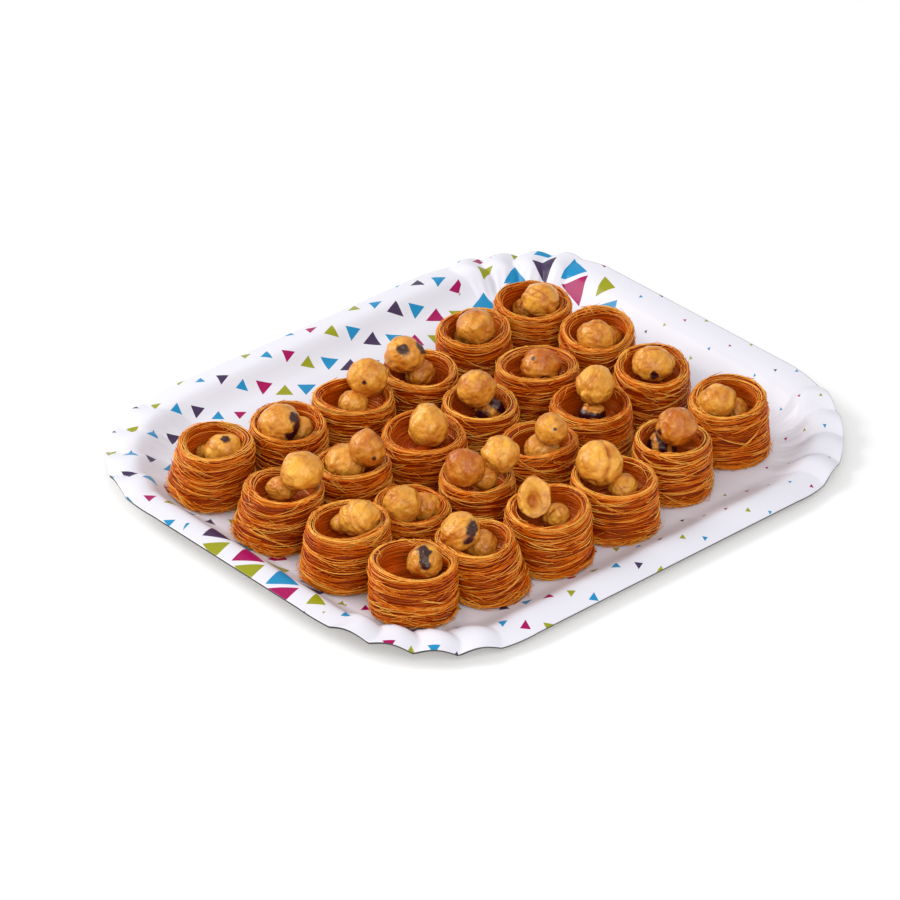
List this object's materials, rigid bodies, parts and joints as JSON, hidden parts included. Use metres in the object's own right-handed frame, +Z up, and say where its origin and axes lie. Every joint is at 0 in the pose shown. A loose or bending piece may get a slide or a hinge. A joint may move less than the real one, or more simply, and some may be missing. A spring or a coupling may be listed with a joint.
{
  "type": "asawer kunafa on a tray",
  "caption": "Small round nests of shredded syrup-soaked pastry filled with whole roasted nuts, set out in rows on a printed paperboard tray with a fluted rim.",
  "frame": {"origin": "middle of the tray's underside, on the surface it stands on", "axes": "+Z up, +X along the tray's longer side, +Y towards the side with the bare strip of floor"},
  "size_m": [0.3172, 0.2774, 0.0448],
  "materials": {
    "pastry": "baked, syrup-glazed",
    "roasted_nut": "roasted, glossy with syrup",
    "printed_board": "printed, satin"
  },
  "bodies": {
    "root": {"tray": "printed_board", "nest_11": "pastry", "nuts_11": "roasted_nut", "nest_12": "pastry", "nuts_12": "roasted_nut", "nest_13": "pastry", "nuts_13": "roasted_nut", "nest_14": "pastry", "nuts_14": "roasted_nut", "nest_21": "pastry", "nuts_21": "roasted_nut", "nest_22": "pastry", "nuts_22": "roasted_nut", "nest_23": "pastry", "nuts_23": "roasted_nut", "nest_24": "pastry", "nuts_24": "roasted_nut", "nest_31": "pastry", "nuts_31": "roasted_nut", "nest_32": "pastry", "nuts_32": "roasted_nut", "nest_33": "pastry", "nuts_33": "roasted_nut", "nest_34": "pastry", "nuts_34": "roasted_nut", "nest_41": "pastry", "nuts_41": "roasted_nut", "nest_42": "pastry", "nuts_42": "roasted_nut", "nest_43": "pastry", "nuts_43": "roasted_nut", "nest_44": "pastry", "nuts_44": "roasted_nut", "nest_51": "pastry", "nuts_51": "roasted_nut", "nest_52": "pastry", "nuts_52": "roasted_nut", "nest_53": "pastry", "nuts_53": "roasted_nut", "nest_54": "pastry", "nuts_54": "roasted_nut", "nest_61": "pastry", "nuts_61": "roasted_nut", "nest_62": "pastry", "nuts_62": "roasted_nut", "nest_63": "pastry", "nuts_63": "roasted_nut", "nest_64": "pastry", "nuts_64": "roasted_nut"}
  },
  "joints": []
}
